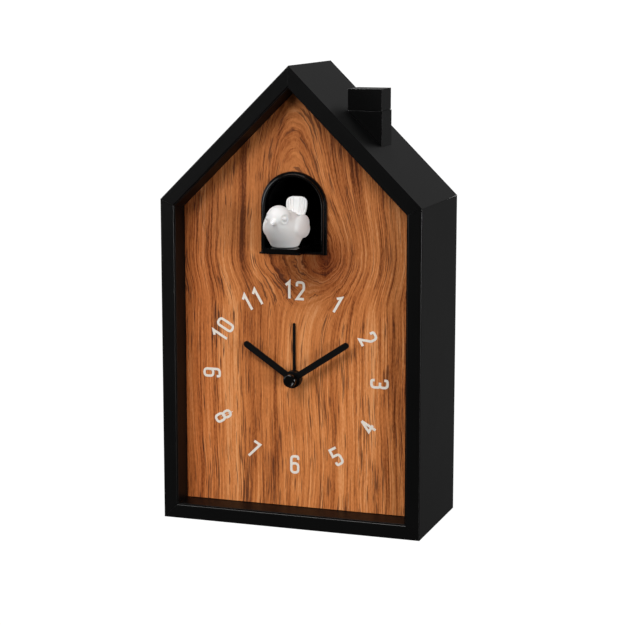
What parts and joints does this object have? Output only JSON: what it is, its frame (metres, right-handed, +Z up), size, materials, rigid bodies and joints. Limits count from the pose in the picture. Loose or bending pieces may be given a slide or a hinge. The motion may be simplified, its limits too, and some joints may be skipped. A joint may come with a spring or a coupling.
{
  "type": "house-shaped cuckoo alarm clock",
  "caption": "Black house-shaped alarm clock with a wood dial, hour, minute and alarm hands, a chimney button and a white bird that slides out of an arched opening.",
  "frame": {"origin": "centre of the case's flat underside, on the surface that the clock stands on", "axes": "+Z up along the clock's height, dial and bird face -Y, +X to the viewer's right"},
  "size_m": [0.15, 0.1, 0.255],
  "materials": {
    "black_lacquer": "satin black lacquer on fibreboard, finely levelled, crisp arrises",
    "wood_veneer": "open-pore warm brown veneer with a dark knot, matt oil",
    "pine": "planed softwood",
    "black_gloss": "moulded, glossy black",
    "black_plastic": "moulded, finely textured black",
    "bird_white": "moulded, satin warm white",
    "natural_plastic": "natural acetal, slightly translucent",
    "grey_plastic": "moulded mid grey",
    "brass": "turned brass",
    "steel": "zinc plated steel",
    "copper": "enamelled copper winding",
    "circuit": "green solder mask",
    "cell_wrap": "printed film wrap, plain"
  },
  "bodies": {
    "case": {"floor_panel": "black_lacquer", "wall_right": "black_lacquer", "wall_left": "black_lacquer", "roof_right": "black_lacquer", "roof_left": "black_lacquer", "chimney_base": "black_lacquer", "dial_board": "wood_veneer", "cleat_right": "pine", "cleat_left": "pine", "niche_bezel": "black_gloss", "dial_carrier": "black_plastic", "niche_tunnel": "black_plastic", "snooze_switch": "black_plastic", "rear_cover": "black_plastic", "battery_tray": "black_plastic", "movement_case": "natural_plastic", "movement_cover": "natural_plastic", "gear_plate": "grey_plastic", "step_motor": "grey_plastic", "motor_gearbox": "brass", "button_spring": "steel", "bird_motor": "steel", "rear_screw_1": "steel", "rear_screw_2": "steel", "rear_screw_3": "steel", "rear_screw_4": "steel", "contact_left_single": "steel", "contact_left_double": "steel", "contact_right_double": "steel", "contact_right_single": "steel", "speaker": "steel", "motor_coil": "copper", "circuit_board": "circuit", "battery_1": "cell_wrap", "battery_2": "cell_wrap", "battery_3": "cell_wrap"},
    "bird_carriage": {"bird_tray": "black_gloss", "bird": "bird_white"},
    "drive_shaft": {"pinion_shaft": "steel", "rack_pinion": "natural_plastic", "drive_gear": "natural_plastic"},
    "motor_output": {"motor_pinion": "brass"},
    "minute_train": {"minute_hand": "black_gloss", "hand_cap": "black_gloss", "minute_arbor": "brass", "centre_wheel": "brass"},
    "third_train": {"third_wheel": "natural_plastic"},
    "setting_train": {"minute_wheel": "natural_plastic", "time_knob": "black_plastic"},
    "hour_train": {"hour_hand": "black_gloss", "hour_wheel": "natural_plastic"},
    "alarm_train": {"alarm_hand": "black_gloss", "alarm_wheel": "natural_plastic"},
    "alarm_setting": {"alarm_pinion": "natural_plastic", "alarm_knob": "black_plastic"},
    "chimney_key": {"chimney_button": "black_lacquer"},
    "alarm_slider": {"alarm_switch": "black_plastic"},
    "chime_slider": {"chime_switch": "black_plastic"},
    "test_key": {"test_button": "black_plastic"},
    "battery_lid": {"battery_door": "black_plastic"}
  },
  "joints": [
    {"name": "minute_turn", "type": "hinge", "parent": "case", "child": "minute_train", "pos_m": [0, -0.026, 0.08335], "axis": [0, 1, 0], "continuous": true},
    {"name": "hour_turn", "type": "hinge", "parent": "case", "child": "hour_train", "pos_m": [0, -0.026, 0.08335], "axis": [0, 1, 0], "continuous": true},
    {"name": "setting_turn", "type": "hinge", "parent": "case", "child": "setting_train", "pos_m": [0.01, -0.017, 0.08335], "axis": [0, 1, 0], "continuous": true},
    {"name": "third_turn", "type": "hinge", "parent": "case", "child": "third_train", "pos_m": [0, -0.013, 0.07335], "axis": [0, 1, 0], "continuous": true},
    {"name": "alarm_turn", "type": "hinge", "parent": "case", "child": "alarm_train", "pos_m": [0, -0.026, 0.08335], "axis": [0, 1, 0], "continuous": true},
    {"name": "alarm_setting_turn", "type": "hinge", "parent": "case", "child": "alarm_setting", "pos_m": [-0.01, -0.02, 0.08335], "axis": [0, 1, 0], "continuous": true},
    {"name": "bird_slide", "type": "slide", "parent": "case", "child": "bird_carriage", "axis": [0, 1, 0], "range_m": [0, 0.034]},
    {"name": "drive_turn", "type": "hinge", "parent": "case", "child": "drive_shaft", "pos_m": [0, -0.009, 0.1506], "axis": [-1, 0, 0], "range_deg": [-1, 328]},
    {"name": "motor_turn", "type": "hinge", "parent": "case", "child": "motor_output", "pos_m": [0.0202, -0.009, 0.1386], "axis": [-1, 0, 0], "range_deg": [-765, 5]},
    {"name": "snooze_press", "type": "slide", "parent": "case", "child": "chimney_key", "axis": [0, 0, -1], "range_m": [0, 0.00025], "stiffness_N_per_m": 250, "springref_m": -0.002, "deforming": ["button_spring"]},
    {"name": "alarm_switch_slide", "type": "slide", "parent": "case", "child": "alarm_slider", "axis": [1, 0, 0], "range_m": [0, 0.005]},
    {"name": "chime_switch_slide", "type": "slide", "parent": "case", "child": "chime_slider", "axis": [1, 0, 0], "range_m": [0, 0.005]},
    {"name": "test_press", "type": "slide", "parent": "case", "child": "test_key", "axis": [0, -1, 0], "range_m": [0, 0.0008], "stiffness_N_per_m": 300, "springref_m": -0.001},
    {"name": "battery_door_hinge", "type": "hinge", "parent": "case", "child": "battery_lid", "pos_m": [0, 0.0292, 0.0167], "axis": [-1, 0, 0], "range_deg": [0, 90]}
  ],
  "couplings": [
    {"joint": "hour_turn", "follows": "minute_turn", "ratio": 0.083333},
    {"joint": "setting_turn", "follows": "minute_turn", "ratio": -0.33333},
    {"joint": "third_turn", "follows": "minute_turn", "ratio": -4},
    {"joint": "alarm_setting_turn", "follows": "alarm_turn", "ratio": -4},
    {"joint": "drive_turn", "follows": "bird_slide", "rad_per_m": 166.67},
    {"joint": "motor_turn", "follows": "bird_slide", "rad_per_m": -388.89}
  ]
}
